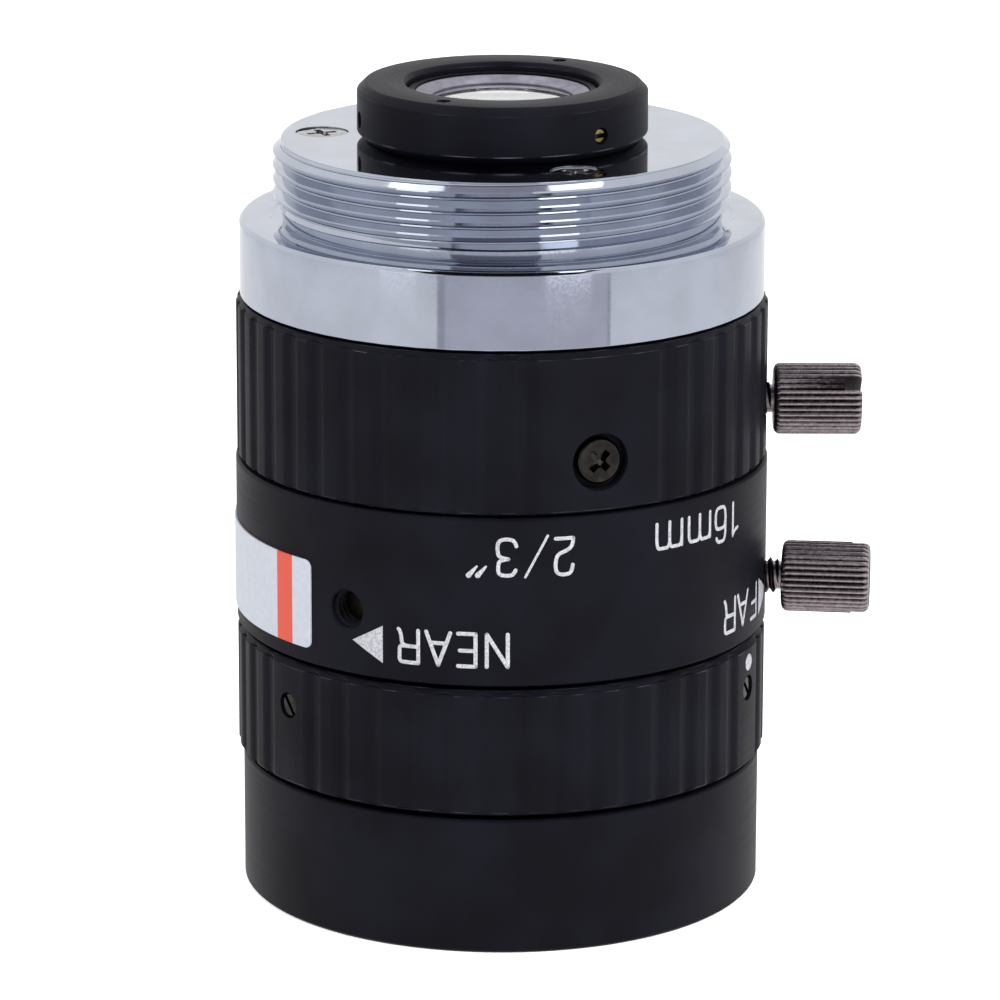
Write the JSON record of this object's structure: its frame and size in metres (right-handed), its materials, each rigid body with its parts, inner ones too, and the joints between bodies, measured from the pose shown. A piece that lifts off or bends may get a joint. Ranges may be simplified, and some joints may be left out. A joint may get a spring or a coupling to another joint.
{
  "type": "c-mount machine vision lens",
  "caption": "Fixed focal length lens with a C-mount, fluted focus and iris rings, a blade iris and knurled thumb screws that lock both rings.",
  "frame": {"origin": "centre of the mount's flange face, on the optical axis", "axes": "+Z along the optical axis from the flange towards the camera; the part stands on its front rim; -Y is the side with the iris lever screw"},
  "size_m": [0.0358, 0.0298, 0.0458],
  "materials": {
    "black_anodised": "black anodised, satin",
    "bright_plate": "bright nickel or chrome plate on brass",
    "nickel_screw": "plated",
    "brass_screw": "plain",
    "steel_pin": "ground",
    "sticker": "white film",
    "brass_sleeve": "turned and greased",
    "black_screw": "black oxide",
    "glass": "polished and coated",
    "grey_ring": "dark grey, satin",
    "blade_steel": "blackened spring steel",
    "dark_nickel": "dark nickel plate",
    "nylon": "plain"
  },
  "bodies": {
    "fixed_barrel": {"main_barrel": "black_anodised", "c_mount": "bright_plate", "mount_screws": "nickel_screw", "rear_ring": "black_anodised", "rear_ring_screws": "brass_screw", "sleeve_retainer": "black_anodised", "guide_key": "steel_pin", "label": "sticker"},
    "focus_ring_body": {"focus_ring": "black_anodised", "focus_sleeve": "brass_sleeve", "focus_ring_screws": "black_screw"},
    "lens_unit": {"lens_barrel": "black_anodised", "front_barrel": "black_anodised", "front_retaining_ring": "black_anodised", "front_lens": "glass", "front_spacer": "black_anodised", "second_lens": "glass", "middle_spacer": "black_anodised", "third_lens": "glass", "iris_base_plate": "black_anodised", "rear_cell": "black_anodised", "doublet_retaining_ring": "black_anodised", "crown_element": "glass", "flint_element": "glass", "sixth_lens": "glass", "rear_spacer": "black_anodised", "rear_lens": "glass", "rear_retaining_ring": "grey_ring"},
    "iris_ring_body": {"iris_ring": "black_anodised", "iris_lever_screw": "black_screw"},
    "iris_cam_body": {"iris_cam": "brass_sleeve"},
    "iris_blade_1_body": {"iris_blade_1": "blade_steel"},
    "iris_blade_2_body": {"iris_blade_2": "blade_steel"},
    "iris_blade_3_body": {"iris_blade_3": "blade_steel"},
    "iris_blade_4_body": {"iris_blade_4": "blade_steel"},
    "iris_blade_5_body": {"iris_blade_5": "blade_steel"},
    "focus_lock_pad_body": {"focus_lock_pad": "nylon"},
    "focus_lock_screw_body": {"focus_lock_screw": "dark_nickel"},
    "iris_lock_pad_body": {"iris_lock_pad": "nylon"},
    "iris_lock_screw_body": {"iris_lock_screw": "dark_nickel"}
  },
  "joints": [
    {"name": "focus_turn", "type": "hinge", "parent": "fixed_barrel", "child": "focus_ring_body", "pos_m": [0, 0, -0.0267], "axis": [0, 0, -1], "range_deg": [0, 105.1]},
    {"name": "focus_travel", "type": "slide", "parent": "fixed_barrel", "child": "lens_unit", "axis": [0, 0, -1], "range_m": [0, 0.0016]},
    {"name": "iris_turn", "type": "hinge", "parent": "fixed_barrel", "child": "iris_ring_body", "pos_m": [0, 0, -0.0089], "axis": [0, 0, 1], "range_deg": [0, 60]},
    {"name": "iris_cam_turn", "type": "hinge", "parent": "lens_unit", "child": "iris_cam_body", "pos_m": [0, 0, -0.012], "axis": [0, 0, 1], "range_deg": [0, 60.1]},
    {"name": "iris_blade_1_swing", "type": "hinge", "parent": "lens_unit", "child": "iris_blade_1_body", "pos_m": [0.0092, 0, -0.0132], "axis": [0, 0, 1], "range_deg": [0, 26.5]},
    {"name": "iris_blade_2_swing", "type": "hinge", "parent": "lens_unit", "child": "iris_blade_2_body", "pos_m": [0.00284, 0.00875, -0.0132], "axis": [0, 0, 1], "range_deg": [0, 26.5]},
    {"name": "iris_blade_3_swing", "type": "hinge", "parent": "lens_unit", "child": "iris_blade_3_body", "pos_m": [-0.00744, 0.00541, -0.0132], "axis": [0, 0, 1], "range_deg": [0, 26.5]},
    {"name": "iris_blade_4_swing", "type": "hinge", "parent": "lens_unit", "child": "iris_blade_4_body", "pos_m": [-0.00744, -0.00541, -0.0132], "axis": [0, 0, 1], "range_deg": [0, 26.5]},
    {"name": "iris_blade_5_swing", "type": "hinge", "parent": "lens_unit", "child": "iris_blade_5_body", "pos_m": [0.00284, -0.00875, -0.0132], "axis": [0, 0, 1], "range_deg": [0, 26.5]},
    {"name": "focus_lock_travel", "type": "slide", "parent": "fixed_barrel", "child": "focus_lock_pad_body", "axis": [0.9945, -0.1045, 0], "range_m": [0, 0.0004]},
    {"name": "focus_lock_turn", "type": "hinge", "parent": "focus_lock_pad_body", "child": "focus_lock_screw_body", "pos_m": [0.0184, -0.00193, -0.02033], "axis": [0.9945, -0.1045, 0], "range_deg": [0, 360.5]},
    {"name": "iris_lock_travel", "type": "slide", "parent": "iris_ring_body", "child": "iris_lock_pad_body", "axis": [1, 0, 0], "range_m": [0, 0.0004]},
    {"name": "iris_lock_turn", "type": "hinge", "parent": "iris_lock_pad_body", "child": "iris_lock_screw_body", "pos_m": [0.0185, 0, -0.0105], "axis": [1, 0, 0], "range_deg": [0, 360.5]}
  ],
  "couplings": [
    {"joint": "focus_turn", "follows": "focus_travel", "rad_per_m": 1145.4},
    {"joint": "iris_cam_turn", "follows": "iris_turn", "ratio": 1},
    {"joint": "iris_blade_1_swing", "follows": "iris_turn", "ratio": 0.44},
    {"joint": "iris_blade_2_swing", "follows": "iris_turn", "ratio": 0.44},
    {"joint": "iris_blade_3_swing", "follows": "iris_turn", "ratio": 0.44},
    {"joint": "iris_blade_4_swing", "follows": "iris_turn", "ratio": 0.44},
    {"joint": "iris_blade_5_swing", "follows": "iris_turn", "ratio": 0.44},
    {"joint": "focus_lock_turn", "follows": "focus_lock_travel", "rad_per_m": 15708},
    {"joint": "iris_lock_turn", "follows": "iris_lock_travel", "rad_per_m": 15708}
  ]
}
